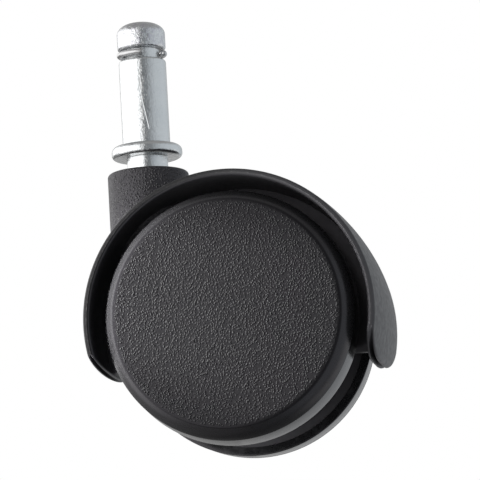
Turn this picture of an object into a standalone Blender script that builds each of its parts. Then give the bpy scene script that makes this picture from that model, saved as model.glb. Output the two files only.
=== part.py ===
"""Hooded twin-wheel furniture caster on a grip-ring stem.

The stem stands on the Z axis with its shoulder at the origin. The axle runs along Y, behind the
stem on +X. Lengths below are millimetres; LENGTH turns them into metres when a mesh is made.
"""

import math

import bmesh
import bpy
from mathutils import Matrix, Vector

LENGTH = 0.001

# Where the axle crosses the middle plane
AXLE_X = 17.4
AXLE_Z = -38.0

# Stem
STEM_R = 4.7625
STEM_TOP = 25.4
HEAD_R = 4.86
HEAD_BOTTOM = 19.79
GROOVE_R = 3.5
GROOVE_BOTTOM = 17.65
HEAD_EDGE = 0.6
FLANGE_R = 7.08
FLANGE_T = 2.4
SHANK_R = 4.1
SHANK_END = -24.2
CLIP_GROOVE_R = 3.35
CLIP_Z = -22.8
CLIP_T = 0.8

# Grip ring
RING_WIRE_R = 0.58
RING_R = 4.5
RING_Z = 18.95
RING_TILT = math.radians(3)
RING_TILT_WAY = math.radians(9.28)
RING_GAP_MIDDLE = math.radians(-41)
RING_GAP = math.radians(78)

# Hood and neck, one moulding
HOOD_CROWN_R = 29.25
HOOD_CROWN = 0.65
HOOD_HALF = 17.5
HOOD_EDGE_R = 0.75
HOOD_LIP_R = 0.5
HOOD_INNER_R = 27.3
FRONT_DROP = 8.05
FRONT_CORNER = (17.5, 2.4)
REAR_DROP = 9.75
REAR_CORNER = (14.0, 5.8)
TAIL_ROUND = 0.4
WEB_HALF = 2.0
WEB_DROP = 7.2
WEB_EDGE_R = 1.6
NECK_R = 8.13
NECK_TOP = -5.5
NECK_EDGE = 0.7
SOCKET_R = 6.6
SOCKET_BOTTOM = -31.5
BOSS_R = 6.0
BOSS_HALF = 7.6
BUSH_R = 5.2
BUSH_BOTTOM = -21.9
BALL_R = 2.4

# Wheel, measured outward from the middle plane
AXLE_R = 3.0
AXLE_HALF = 16.2
TREAD_IN = 9.0
TREAD_OUT = 15.4
TREAD_IN_R = 24.75
TREAD_OUT_R = 24.45
RIM_R = 23.0
RIM_INNER_R = 21.9
HUB_R = 6.6
HUB_BORE_R = 4.9
FACE_R = 22.3
FACE_H = 18.8
FACE_DOME = 0.15
SHOULDER = (23.75, 17.9)
CAP_T = 1.6
RIBS = 8

RUNNING_GAP = 0.08
FIXED_GAP = 0.05
SIDE_GAP = 0.1

STEM_STEPS = 48
WHEEL_STEPS = 60
HOOD_STEPS = 56


def clear_scene():
    for obj in list(bpy.data.objects):
        bpy.data.objects.remove(obj)


def plain_material(name, colour, roughness, metallic=0.0):
    material = bpy.data.materials.new(name)
    material.use_nodes = True
    shader = material.node_tree.nodes["Principled BSDF"]
    shader.inputs["Base Color"].default_value = (*colour, 1.0)
    shader.inputs["Roughness"].default_value = roughness
    shader.inputs["Metallic"].default_value = metallic
    material.diffuse_color = (*colour, 1.0)
    return material


def arc(centre, radii, start, end, count):
    """Points on an ellipse about centre, start and end in degrees, both ends included."""
    points = []
    for i in range(count + 1):
        angle = math.radians(start + (end - start) * i / count)
        points.append((centre[0] + radii[0] * math.cos(angle), centre[1] + radii[1] * math.sin(angle)))
    return points


def bevel(start, pull, end, count):
    """A soft curve from start to end, drawn towards the point pull, both ends included."""
    points = []
    for i in range(count + 1):
        t = i / count
        weights = ((1 - t) ** 2, 2 * t * (1 - t), t * t)
        points.append(tuple(sum(w * p[axis] for w, p in zip(weights, (start, pull, end))) for axis in (0, 1)))
    return points


def smooth_by_angle(mesh):
    mesh.shade_smooth()
    mesh.set_sharp_from_angle(angle=math.radians(32))


def finish_mesh(name, bm):
    bmesh.ops.recalc_face_normals(bm, faces=bm.faces[:])
    mesh = bpy.data.meshes.new(name)
    bm.to_mesh(mesh)
    bm.free()
    smooth_by_angle(mesh)
    return mesh


def lathe_mesh(name, profile, steps):
    """Turns (radius, height) points about Z. A profile that starts on the axis ends on it too."""
    bm = bmesh.new()
    on_axis = profile[0][0] == 0
    verts = [bm.verts.new((r * LENGTH, 0.0, h * LENGTH)) for r, h in profile]
    pairs = list(zip(verts, verts[1:]))
    if not on_axis:
        pairs.append((verts[-1], verts[0]))
    edges = [bm.edges.new(pair) for pair in pairs]
    bmesh.ops.spin(
        bm,
        geom=verts + edges,
        cent=(0, 0, 0),
        axis=(0, 0, 1),
        angle=2 * math.pi,
        steps=steps,
        use_merge=True,
        use_duplicate=False,
    )
    bmesh.ops.remove_doubles(bm, verts=bm.verts[:], dist=1e-7)
    return finish_mesh(name, bm)


def box_mesh(name, low, high):
    bm = bmesh.new()
    bmesh.ops.create_cube(bm, size=1.0)
    for vert in bm.verts:
        for axis in range(3):
            span = high[axis] - low[axis]
            vert.co[axis] = (low[axis] + span * (vert.co[axis] + 0.5)) * LENGTH
    return finish_mesh(name, bm)


def place(name, mesh, material, at=(0, 0, 0), turn=(0, 0, 0), parent=None):
    obj = bpy.data.objects.new(name, mesh)
    bpy.context.scene.collection.objects.link(obj)
    if not mesh.materials:
        mesh.materials.append(material)
    obj.location = Vector(at) * LENGTH
    obj.rotation_euler = turn
    if parent:
        obj.parent = parent
    return obj


def boolean_mesh(name, base, steps):
    """Joins or cuts meshes in turn. Each step is (operation, mesh, location, rotation)."""
    work = place(name + "_work", base, None)
    helpers = []
    for i, (operation, mesh, at, turn) in enumerate(steps):
        helper = place(f"{name}_helper_{i}", mesh, None, at, turn)
        helper.hide_render = True
        helper.display_type = "WIRE"
        helpers.append(helper)
        modifier = work.modifiers.new(f"step_{i}", "BOOLEAN")
        modifier.operation = operation
        modifier.solver = "EXACT"
        modifier.object = helper
    bpy.context.view_layer.update()
    graph = bpy.context.evaluated_depsgraph_get()
    mesh = bpy.data.meshes.new_from_object(work.evaluated_get(graph))
    mesh.name = name
    for obj in [work, *helpers]:
        bpy.data.objects.remove(obj)
    bm = bmesh.new()
    bm.from_mesh(mesh)
    bmesh.ops.remove_doubles(bm, verts=bm.verts[:], dist=2e-6)
    bmesh.ops.dissolve_degenerate(bm, dist=1e-6, edges=bm.edges[:])
    bm.to_mesh(mesh)
    bm.free()
    mesh.materials.clear()
    smooth_by_angle(mesh)
    return mesh


def stem_profile():
    """The pin from its domed head down through the flange to its foot in the neck."""
    crown_r = 1.3
    dome_h = 2.3
    edge_r = STEM_R - HEAD_EDGE
    points = [(0, STEM_TOP)]
    points += arc((crown_r, STEM_TOP - dome_h), (HEAD_R - crown_r, dome_h), 90, 0, 7)
    points += arc((HEAD_R - HEAD_EDGE, HEAD_BOTTOM + HEAD_EDGE), (HEAD_EDGE, HEAD_EDGE), 0, -90, 4)
    points += [(GROOVE_R, HEAD_BOTTOM), (GROOVE_R, GROOVE_BOTTOM)]
    points += arc((edge_r, GROOVE_BOTTOM - HEAD_EDGE), (HEAD_EDGE, HEAD_EDGE), 90, 0, 4)
    points += [(STEM_R, 0.2), (STEM_R + 0.2, 0)]
    half = FLANGE_T / 2
    points += [(FLANGE_R - half, 0)]
    points += arc((FLANGE_R - half * 0.9, -half), (half * 0.9, half), 70, -65, 6)
    points += [(FLANGE_R - half - 0.1, -FLANGE_T), (SHANK_R, -FLANGE_T)]
    low = CLIP_Z - CLIP_T / 2 - FIXED_GAP
    high = CLIP_Z + CLIP_T / 2 + FIXED_GAP
    points += [(SHANK_R, high), (CLIP_GROOVE_R, high), (CLIP_GROOVE_R, low), (SHANK_R, low)]
    points += [(SHANK_R, SHANK_END + 0.6), (SHANK_R - 0.6, SHANK_END), (0, SHANK_END)]
    return points


def make_stem(steel, spring_steel):
    stem = place("stem_pin", lathe_mesh("stem_pin", stem_profile(), STEM_STEPS), steel)
    across = Vector((math.cos(RING_TILT_WAY), math.sin(RING_TILT_WAY), 0))
    tilt = Matrix.Rotation(RING_TILT, 3, across).to_euler()
    place("grip_ring", split_wire_mesh(), spring_steel, (0, 0, RING_Z), tilt, stem)
    clip = split_washer_mesh("stem_clip", CLIP_GROOVE_R + FIXED_GAP, BUSH_R - 0.2, CLIP_T, 50)
    place("stem_clip", clip, spring_steel, (0, 0, CLIP_Z), parent=stem)


def split_wire_mesh():
    """Round wire bent to an open ring, its ends rounded off."""
    bm = bmesh.new()
    sides = 12
    turns = 40
    sweep = 2 * math.pi - RING_GAP
    start = RING_GAP_MIDDLE + RING_GAP / 2
    rings = []
    for i in range(turns + 1):
        angle = start + sweep * i / turns
        frame = Matrix.Rotation(angle, 4, "Z")
        ring = []
        for j in range(sides):
            around = 2 * math.pi * j / sides
            r = RING_R + RING_WIRE_R * math.cos(around)
            ring.append(bm.verts.new(frame @ Vector((r, 0, RING_WIRE_R * math.sin(around))) * LENGTH))
        rings.append(ring)
    for first, second in zip(rings, rings[1:]):
        for j in range(sides):
            k = (j + 1) % sides
            bm.faces.new((first[j], first[k], second[k], second[j]))
    for ring, angle, way in ((rings[0], start, -1), (rings[-1], start + sweep, 1)):
        close_wire_end(bm, ring, angle, way)
    return finish_mesh("grip_ring", bm)


def close_wire_end(bm, ring, angle, way):
    """A low dome on the wire's end: one smaller ring and a tip."""
    along = Vector((-math.sin(angle), math.cos(angle), 0)) * way
    middle = sum((v.co for v in ring), Vector()) / len(ring)
    reach = RING_WIRE_R * LENGTH
    inner = [bm.verts.new(middle + (v.co - middle) * 0.72 + along * reach * 0.5) for v in ring]
    tip = bm.verts.new(middle + along * reach * 0.75)
    for j in range(len(ring)):
        k = (j + 1) % len(ring)
        bm.faces.new((ring[j], ring[k], inner[k], inner[j]))
        bm.faces.new((inner[j], inner[k], tip))


def split_washer_mesh(name, inner, outer, thick, gap_degrees):
    """A flat ring with a gap, about Z and centred on its thickness."""
    bm = bmesh.new()
    steps = 36
    sweep = 360 - gap_degrees
    columns = []
    for i in range(steps + 1):
        angle = math.radians(gap_degrees / 2 + sweep * i / steps)
        side = Vector((math.cos(angle), math.sin(angle), 0))
        column = []
        for r, h in ((inner, -thick / 2), (outer, -thick / 2), (outer, thick / 2), (inner, thick / 2)):
            column.append(bm.verts.new((side * r + Vector((0, 0, h))) * LENGTH))
        columns.append(column)
    for first, second in zip(columns, columns[1:]):
        for j in range(4):
            k = (j + 1) % 4
            bm.faces.new((first[j], first[k], second[k], second[j]))
    bm.faces.new(columns[0])
    bm.faces.new(columns[-1])
    return finish_mesh(name, bm)


def hood_section():
    """(y, radius) points round the hood's wall: the crowned outside, then back along the inside."""
    flat_half = HOOD_HALF - HOOD_EDGE_R
    outer = []
    for i in range(11):
        y = -flat_half + 2 * flat_half * i / 10
        outer.append((y, HOOD_CROWN_R - HOOD_CROWN * (y / HOOD_HALF) ** 2))
    rim_r = outer[-1][1]
    edge = arc((flat_half, rim_r - HOOD_EDGE_R), (HOOD_EDGE_R, HOOD_EDGE_R), 70, 0, 3)
    lip = arc((HOOD_HALF - HOOD_LIP_R, HOOD_INNER_R + HOOD_LIP_R), (HOOD_LIP_R, HOOD_LIP_R), 0, -90, 3)
    right = edge + lip
    left = [(-y, r) for y, r in reversed(right)]
    inner = [(y, HOOD_INNER_R) for y in (12.0, 6.0, 0.0, -6.0, -12.0)]
    return outer + right + inner + left


def tail_height(y, drop, corner):
    """How far below the axle the wall reaches at y, its corner rounded to an ellipse."""
    wide, tall = corner
    into = max(0.0, abs(y) - (HOOD_HALF - wide))
    into = min(into / wide, 0.995)
    return drop - tall * (1 - math.sqrt(1 - into * into))


def shell_stations(steps, end_steps):
    """(share of the way from tail to tail, cut back, thickness) of each column; the ends are rounded."""
    ends = []
    for i in range(end_steps):
        angle = math.pi / 2 * (1 - i / end_steps)
        ends.append((TAIL_ROUND * (1 - math.sin(angle)), 0.5 + 0.5 * math.cos(angle)))
    stations = [(0.0, cut, thick) for cut, thick in ends]
    stations += [(i / steps, TAIL_ROUND, 1.0) for i in range(steps + 1)]
    return stations + [(1.0, cut, thick) for cut, thick in reversed(ends)]


def hood_shell_mesh():
    bm = bmesh.new()
    columns = []
    section = hood_section()
    middle = (HOOD_INNER_R + HOOD_CROWN_R) / 2
    for part, cut, thick in shell_stations(HOOD_STEPS, 3):
        side = HOOD_HALF - TAIL_ROUND * (1 - thick)
        column = []
        for y, full_r in section:
            r = middle + (full_r - middle) * thick
            rear = -math.asin((tail_height(y, REAR_DROP, REAR_CORNER) - cut) / r)
            front = math.pi + math.asin((tail_height(y, FRONT_DROP, FRONT_CORNER) - cut) / r)
            angle = rear + (front - rear) * part
            at_y = max(-side, min(side, y))
            column.append(bm.verts.new(Vector((r * math.cos(angle), at_y, r * math.sin(angle))) * LENGTH))
        columns.append(column)
    count = len(section)
    for first, second in zip(columns, columns[1:]):
        for j in range(count):
            k = (j + 1) % count
            bm.faces.new((first[j], first[k], second[k], second[j]))
    for column in (columns[0], columns[-1]):
        close_tail(bm, column)
    return finish_mesh("hood_shell", bm)


def close_tail(bm, column):
    """Fills a tail's end between its outer and inner edges."""
    face = bm.faces.new(column)
    bmesh.ops.triangulate(bm, faces=[face])


def web_mesh():
    """The wall between the wheels: a disc inside the hood, its level lower edge rounded."""
    bm = bmesh.new()
    reach = (HOOD_INNER_R + HOOD_CROWN_R - HOOD_CROWN) / 2
    edge = arc((WEB_HALF - WEB_EDGE_R, WEB_DROP - WEB_EDGE_R), (WEB_EDGE_R, WEB_EDGE_R), 0, 90, 4)
    edge = [(-y, drop) for y, drop in edge] + list(reversed(edge))
    sides = []
    for y, drop in edge:
        low = math.asin(drop / reach)
        side = []
        for i in range(HOOD_STEPS + 1):
            angle = -low + (math.pi + 2 * low) * i / HOOD_STEPS
            side.append(bm.verts.new(Vector((reach * math.cos(angle), y, reach * math.sin(angle))) * LENGTH))
        sides.append(side)
    bm.faces.new(sides[0])
    bm.faces.new(sides[-1])
    for first, second in zip(sides, sides[1:]):
        for i in range(len(first)):
            k = (i + 1) % len(first)
            bm.faces.new((first[i], first[k], second[k], second[i]))
    return finish_mesh("hood_web", bm)


def neck_mesh():
    """The neck outside the hood and the slimmer socket that goes on down between the wheels."""
    profile = [(0, NECK_TOP)]
    profile += arc((NECK_R - NECK_EDGE, NECK_TOP - NECK_EDGE), (NECK_EDGE, NECK_EDGE), 90, 0, 4)
    profile += [(NECK_R, -24.6)]
    profile += [(SOCKET_R, -26.0), (SOCKET_R, SOCKET_BOTTOM + 0.8), (SOCKET_R - 0.8, SOCKET_BOTTOM)]
    profile += [(0, SOCKET_BOTTOM)]
    return lathe_mesh("hood_neck", profile, STEM_STEPS)


def bore_mesh():
    """The socket's hollow: room for the bush, the clip and the pin's foot, then the ball's seat."""
    wide = BUSH_R + FIXED_GAP
    seat = BALL_R + 0.12
    seat_bottom = SHANK_END - 2 * BALL_R - 2 * FIXED_GAP
    foot = SHANK_END - 0.5
    profile = [(0, NECK_TOP + 2), (wide, NECK_TOP + 2), (wide, foot), (seat, foot)]
    profile += [(seat, seat_bottom), (0, seat_bottom)]
    return lathe_mesh("hood_bore", profile, STEM_STEPS)


def make_housing(nylon, acetal, steel):
    axle = (AXLE_X, 0, AXLE_Z)
    along_y = (math.pi / 2, 0, 0)
    boss = lathe_mesh("hood_boss", [(0, -BOSS_HALF), (BOSS_R, -BOSS_HALF), (BOSS_R, BOSS_HALF), (0, BOSS_HALF)], 48)
    bore = AXLE_R + 0.04
    hole = lathe_mesh("hood_axle_hole", [(0, -12), (bore, -12), (bore, 12), (0, 12)], STEM_STEPS)
    from_axle = (-AXLE_X, 0, -AXLE_Z)
    steps = [
        ("UNION", web_mesh(), (0, 0, 0), (0, 0, 0)),
        ("UNION", boss, (0, 0, 0), along_y),
        ("UNION", neck_mesh(), from_axle, (0, 0, 0)),
        ("DIFFERENCE", bore_mesh(), from_axle, (0, 0, 0)),
        ("DIFFERENCE", hole, (0, 0, 0), along_y),
    ]
    mesh = boolean_mesh("hood_housing", hood_shell_mesh(), steps)
    hood = place("hood_housing", mesh, nylon)
    shift_to_stem(hood)
    inner = SHANK_R + RUNNING_GAP
    top = NECK_TOP - 0.15
    bush = [(inner, BUSH_BOTTOM), (BUSH_R, BUSH_BOTTOM), (BUSH_R, top), (inner, top)]
    place("swivel_bush", lathe_mesh("swivel_bush", bush, STEM_STEPS), acetal, parent=hood)
    place("thrust_ball", ball_mesh(), steel, (0, 0, SHANK_END - BALL_R - FIXED_GAP), parent=hood)
    place("axle_pin", lathe_mesh("axle_pin", axle_profile(), STEM_STEPS), steel, axle, along_y, hood)
    return hood


def shift_to_stem(hood):
    """The hood is built about the axle, and its own origin belongs on the swivel axis."""
    hood.data.transform(Matrix.Translation(Vector((AXLE_X, 0, AXLE_Z)) * LENGTH))


def ball_mesh():
    profile = [(0, -BALL_R)] + arc((0, 0), (BALL_R, BALL_R), -75, 75, 10) + [(0, BALL_R)]
    return lathe_mesh("thrust_ball", profile, 24)


def axle_profile():
    chamfer = 0.4
    return [
        (0, -AXLE_HALF),
        (AXLE_R - chamfer, -AXLE_HALF),
        (AXLE_R, -AXLE_HALF + chamfer),
        (AXLE_R, AXLE_HALF - chamfer),
        (AXLE_R - chamfer, AXLE_HALF),
        (0, AXLE_HALF),
    ]


def tread_profile():
    edge = 0.22
    return [
        (RIM_R + FIXED_GAP, TREAD_IN),
        (TREAD_IN_R - edge, TREAD_IN),
        (TREAD_IN_R - edge * 0.3, TREAD_IN + edge * 0.3),
        (TREAD_IN_R, TREAD_IN + edge),
        (TREAD_OUT_R, TREAD_OUT - edge),
        (TREAD_OUT_R - edge * 0.3, TREAD_OUT - edge * 0.3),
        (TREAD_OUT_R - edge, TREAD_OUT),
        (RIM_R + FIXED_GAP, TREAD_OUT),
    ]


def body_profile():
    """Hub, thin web and rim of the wheel's moulding."""
    hub_in = 8.35
    hub_out = 13.6
    web_in = 9.9
    web_out = 11.3
    return [
        (HUB_BORE_R, hub_in),
        (HUB_R, hub_in),
        (HUB_R + 0.4, web_in),
        (RIM_INNER_R - 1.2, web_in),
        (RIM_INNER_R - 0.6, TREAD_IN + 0.35),
        (RIM_R, TREAD_IN + 0.35),
        (RIM_R, TREAD_OUT),
        (RIM_INNER_R, TREAD_OUT),
        (RIM_INNER_R, web_out),
        (HUB_R + 0.3, web_out),
        (HUB_R, hub_out),
        (HUB_BORE_R, hub_out),
    ]


def rib_meshes():
    """Stiffening ribs between the hub and the rim, on the covered side of the web."""
    half = 0.7
    steps = []
    for i in range(RIBS):
        turn = (0, 0, 2 * math.pi * (i + 0.5) / RIBS)
        rib = box_mesh("wheel_rib", (HUB_R - 0.6, -half, 10.6), (RIM_INNER_R + 0.5, half, 12.4))
        steps.append(("UNION", rib, (0, 0, 0), turn))
    return steps


def cap_profile():
    """The cover: a faintly domed face, a softly bevelled shoulder and a skirt that snaps into the rim."""
    seam = TREAD_OUT + SIDE_GAP
    face_in = FACE_H - CAP_T
    skirt_out = RIM_INNER_R - SIDE_GAP
    points = [(0, FACE_H + FACE_DOME)]
    points += [(r, FACE_H + FACE_DOME * (1 - (r / FACE_R) ** 2)) for r in (8.0, 15.0)]
    points += bevel((FACE_R, FACE_H), SHOULDER, (TREAD_OUT_R, seam + 0.1), 6)
    points += [(TREAD_OUT_R - 0.1, seam)]
    points += [(skirt_out, seam), (skirt_out, 12.9), (skirt_out - 0.9, 12.9), (skirt_out - 0.9, face_in)]
    points += [(0, face_in)]
    return points


def bush_profile():
    inner = AXLE_R + RUNNING_GAP
    outer = HUB_BORE_R - FIXED_GAP
    flange = HUB_R - 0.6
    return [(inner, 8.4), (outer, 8.4), (outer, 13.65), (flange, 13.65), (flange, 14.15), (inner, 14.15)]


def washer_profile(inner, outer, low, high):
    return [(inner, low), (outer, low), (outer, high), (inner, high)]


def star_clip_mesh():
    """A dished push-on clip whose teeth bite the axle's end."""
    teeth = 6
    low = 14.85
    disc = lathe_mesh("star_disc", washer_profile(AXLE_R + 0.03, 5.2, low, low + 0.6), 48)
    slot = box_mesh("star_slot", (AXLE_R - 0.5, -0.3, low - 0.5), (AXLE_R + 1.1, 0.3, low + 1.1))
    turns = [(0, 0, 2 * math.pi * (i + 0.5) / teeth) for i in range(teeth)]
    return boolean_mesh("axle_clip", disc, [("DIFFERENCE", slot, (0, 0, 0), turn) for turn in turns])


def make_wheels(nylon, tread, cover, acetal, steel, spring_steel, hood):
    body = boolean_mesh("wheel_body", lathe_mesh("wheel_turned", body_profile(), WHEEL_STEPS), rib_meshes())
    meshes = {
        "wheel_body": (body, nylon),
        "tread_ring": (lathe_mesh("tread_ring", tread_profile(), WHEEL_STEPS), tread),
        "wheel_cap": (lathe_mesh("wheel_cap", cap_profile(), WHEEL_STEPS), cover),
        "hub_bush": (lathe_mesh("hub_bush", bush_profile(), STEM_STEPS), acetal),
    }
    on_axle = {
        "inner_washer": (washer_mesh("inner_washer", 6.0, BOSS_HALF + 0.05, 8.25), acetal),
        "outer_washer": (washer_mesh("outer_washer", 5.6, 14.25, 14.75), steel),
        "axle_clip": (star_clip_mesh(), spring_steel),
    }
    at = (AXLE_X, 0, AXLE_Z)
    for side, way in (("near", 1), ("far", -1)):
        turn = (way * math.pi / 2, 0, 0)
        first = None
        for kind, (mesh, material) in meshes.items():
            if first is None:
                first = place(f"{kind}_{side}", mesh, material, at, turn)
            else:
                place(f"{kind}_{side}", mesh, material, parent=first)
        for kind, (mesh, material) in on_axle.items():
            place(f"{kind}_{side}", mesh, material, at, turn, hood)


def washer_mesh(name, outer, low, high):
    return lathe_mesh(name, washer_profile(AXLE_R + 0.06, outer, low, high), STEM_STEPS)


def main():
    clear_scene()
    black = plain_material("black_nylon", (0.022, 0.022, 0.024), 0.45)
    cover = plain_material("grained_nylon", (0.026, 0.026, 0.028), 0.6)
    tread = plain_material("tread_black", (0.03, 0.03, 0.032), 0.4)
    acetal = plain_material("natural_acetal", (0.75, 0.74, 0.70), 0.4)
    steel = plain_material("zinc_plated_steel", (0.78, 0.80, 0.82), 0.22, 1.0)
    spring_steel = plain_material("spring_steel", (0.55, 0.56, 0.58), 0.3, 1.0)
    make_stem(steel, spring_steel)
    hood = make_housing(black, acetal, steel)
    make_wheels(black, tread, cover, acetal, steel, spring_steel, hood)


main()
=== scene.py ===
"""Looks for the hooded twin-wheel caster: finer surfaces, moulded and plated materials, studio."""

import math

import bmesh
import bpy
from mathutils import Matrix, Vector


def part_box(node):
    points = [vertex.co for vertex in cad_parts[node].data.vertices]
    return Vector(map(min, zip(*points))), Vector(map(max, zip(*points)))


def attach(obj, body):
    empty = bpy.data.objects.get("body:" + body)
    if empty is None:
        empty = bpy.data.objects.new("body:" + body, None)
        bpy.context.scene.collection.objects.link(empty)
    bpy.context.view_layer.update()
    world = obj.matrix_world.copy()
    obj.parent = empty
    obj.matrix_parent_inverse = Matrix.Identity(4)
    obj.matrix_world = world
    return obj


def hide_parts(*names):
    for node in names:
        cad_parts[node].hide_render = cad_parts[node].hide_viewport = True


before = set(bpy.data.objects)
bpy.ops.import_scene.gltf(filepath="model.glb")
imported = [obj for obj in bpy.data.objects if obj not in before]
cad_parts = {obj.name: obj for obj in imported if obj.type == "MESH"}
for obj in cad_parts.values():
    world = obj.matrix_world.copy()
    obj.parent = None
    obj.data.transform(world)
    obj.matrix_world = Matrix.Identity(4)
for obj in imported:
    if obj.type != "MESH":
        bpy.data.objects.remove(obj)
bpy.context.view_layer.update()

# Sizes are in millimetres until MM makes metres of them. Zero is on the stem's axis, at the flange's top.
MM = 0.001


def centre_of(node):
    low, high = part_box(node)
    return (low + high) / 2


AXLE = centre_of("axle_pin")
# The turn that lays a lathed piece's height along the axle, outwards.
OUTWARD = {"near": (math.pi / 2, 0, 0), "far": (-math.pi / 2, 0, 0)}


# ---------------------------------------------------------------- mesh helpers

SLIGHT_R = 0.06
NEARLY_STRAIGHT = math.radians(168)
MOST_OF_EDGE = 0.48
ON_AXIS = 1e-6


def arc(centre, radii, start, end, count):
    """Points on an ellipse about centre, start and end in degrees, both ends included."""
    points = []
    for i in range(count + 1):
        angle = math.radians(start + (end - start) * i / count)
        points.append((centre[0] + radii[0] * math.cos(angle), centre[1] + radii[1] * math.sin(angle)))
    return points


def bevel(start, pull, end, count):
    """A soft curve from start to end, drawn towards the point pull, both ends included."""
    first, middle, last = Vector(start), Vector(pull), Vector(end)
    points = []
    for i in range(count + 1):
        t = i / count
        points.append(tuple(first * (1 - t) ** 2 + middle * 2 * t * (1 - t) + last * t * t))
    return points


def eased(points, radii, steps=5):
    """The outline with each corner rounded, to the radius given for its place in the list or to SLIGHT_R."""
    out = [points[0]]
    for i in range(1, len(points) - 1):
        here = Vector(points[i])
        back = Vector(points[i - 1]) - here
        on = Vector(points[i + 1]) - here
        radius = radii.get(i, SLIGHT_R)
        turn = back.angle(on)
        if turn > NEARLY_STRAIGHT:
            out.append(tuple(here))
            continue
        reach = min(radius / math.tan(turn / 2), back.length * MOST_OF_EDGE, on.length * MOST_OF_EDGE)
        first = here + back.normalized() * reach
        last = here + on.normalized() * reach
        out += bevel(first, here, last, steps)
    out.append(points[-1])
    return out


def skin(bm, rings):
    """Faces between neighbouring rings, which have the same number of points."""
    for first, second in zip(rings, rings[1:]):
        for j in range(len(first)):
            k = (j + 1) % len(first)
            bm.faces.new((first[j], first[k], second[k], second[j]))


def finish_mesh(name, bm, sharp=40):
    """The finished mesh, smooth but for edges that turn by more than sharp degrees."""
    bmesh.ops.recalc_face_normals(bm, faces=bm.faces[:])
    mesh = bpy.data.meshes.new(name)
    bm.to_mesh(mesh)
    bm.free()
    mesh.shade_smooth()
    mesh.set_sharp_from_angle(angle=math.radians(sharp))
    return mesh


def lathe(name, profile, steps, sharp=40):
    """Turns (radius, height) points in millimetres about Z. An outline off the axis is closed on itself."""
    bm = bmesh.new()
    rings = []
    for r, h in profile:
        if r < ON_AXIS:
            rings.append([bm.verts.new((0, 0, h * MM))])
            continue
        ring = []
        for i in range(steps):
            angle = 2 * math.pi * i / steps
            ring.append(bm.verts.new((r * MM * math.cos(angle), r * MM * math.sin(angle), h * MM)))
        rings.append(ring)
    pairs = list(zip(rings, rings[1:]))
    if profile[0][0] > ON_AXIS:
        pairs.append((rings[-1], rings[0]))
    for first, second in pairs:
        for i in range(steps):
            k = (i + 1) % steps
            corners = [ring[j % len(ring)] for ring, j in ((first, i), (first, k), (second, k), (second, i))]
            bm.faces.new(list(dict.fromkeys(corners)))
    return finish_mesh(name, bm, sharp)


def place(mesh, material, body, replaces, at=(0, 0, 0), turn=(0, 0, 0)):
    """Puts a finished mesh on its body, instead of the CAD node that it replaces."""
    obj = bpy.data.objects.new(mesh.name, mesh)
    bpy.context.scene.collection.objects.link(obj)
    obj.data.materials.append(material)
    obj.location = at
    obj.rotation_euler = turn
    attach(obj, body)
    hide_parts(replaces)


# ---------------------------------------------------------------- node helpers


class Nodes:
    """A node tree built by calls. An input given as a socket is linked, and any other value is set."""

    def __init__(self, tree):
        self.tree = tree
        tree.nodes.clear()

    def add(self, kind, inputs=None, **settings):
        node = self.tree.nodes.new(kind)
        for key, value in settings.items():
            setattr(node, key, value)
        for key, value in (inputs or {}).items():
            if isinstance(value, bpy.types.NodeSocket):
                self.tree.links.new(value, node.inputs[key])
            else:
                node.inputs[key].default_value = value
        return node

    def math(self, operation, first, second=0.0):
        return self.add("ShaderNodeMath", {0: first, 1: second}, operation=operation).outputs[0]

    def times(self, first, second):
        return self.math("MULTIPLY", first, second)

    def vector(self, operation, first, second):
        return self.add("ShaderNodeVectorMath", {0: first, 1: second}, operation=operation).outputs[0]

    def along(self, vector, direction):
        """How far the vector goes in this direction."""
        inputs = {0: vector, 1: direction}
        return self.add("ShaderNodeVectorMath", inputs, operation="DOT_PRODUCT").outputs["Value"]

    def smooth(self, value, low, high, out_low=0.0, out_high=1.0):
        """out_low where the value is at low, out_high where it is at high, eased between them."""
        inputs = {"Value": value, "From Min": low, "From Max": high, "To Min": out_low, "To Max": out_high}
        return self.add("ShaderNodeMapRange", inputs, interpolation_type="SMOOTHSTEP").outputs["Result"]

    def window(self, value, rise, fall):
        """One between the two slopes rise and fall, each (start, end), and zero outside them."""
        return self.times(self.smooth(value, *rise), self.smooth(value, *fall, 1.0, 0.0))

    def noise(self, vector, scale, detail=2.0, roughness=0.5, distortion=0.0):
        inputs = {"Vector": vector, "Scale": scale, "Detail": detail, "Roughness": roughness}
        inputs["Distortion"] = distortion
        return self.add("ShaderNodeTexNoise", inputs).outputs["Fac"]

    def stretched_noise(self, vector, stretch, scale, detail, roughness):
        return self.noise(self.vector("MULTIPLY", vector, stretch), scale, detail, roughness)

    def cells(self, vector, scale):
        return self.add("ShaderNodeTexVoronoi", {"Vector": vector, "Scale": scale}).outputs["Distance"]

    def mix(self, factor, first, second):
        inputs = {0: factor, 6: first, 7: second}
        return self.add("ShaderNodeMix", inputs, data_type="RGBA").outputs[2]

    def mix_value(self, factor, first, second):
        return self.add("ShaderNodeMix", {0: factor, 2: first, 3: second}, data_type="FLOAT").outputs[0]

    def bump(self, height, depth, strength=1.0, normal=None):
        """depth is how far a height of 1 stands out, in millimetres."""
        inputs = {"Height": height, "Distance": depth * MM, "Strength": strength}
        if normal:
            inputs["Normal"] = normal
        return self.add("ShaderNodeBump", inputs).outputs["Normal"]

    def place_of(self):
        return self.add("ShaderNodeTexCoord").outputs["Object"]

    def split(self, vector):
        node = self.add("ShaderNodeSeparateXYZ", {0: vector})
        return node.outputs[0], node.outputs[1], node.outputs[2]

    def radius(self, first, second):
        squares = self.math("ADD", self.times(first, first), self.times(second, second))
        return self.math("SQRT", squares)


def surface(name):
    material = bpy.data.materials.new(name)
    material.use_nodes = True
    return material, Nodes(material.node_tree)


def close_surface(nodes, **inputs):
    values = {key.replace("_", " "): value for key, value in inputs.items()}
    shader = nodes.add("ShaderNodeBsdfPrincipled", values)
    nodes.add("ShaderNodeOutputMaterial", {"Surface": shader.outputs[0]})


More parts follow.
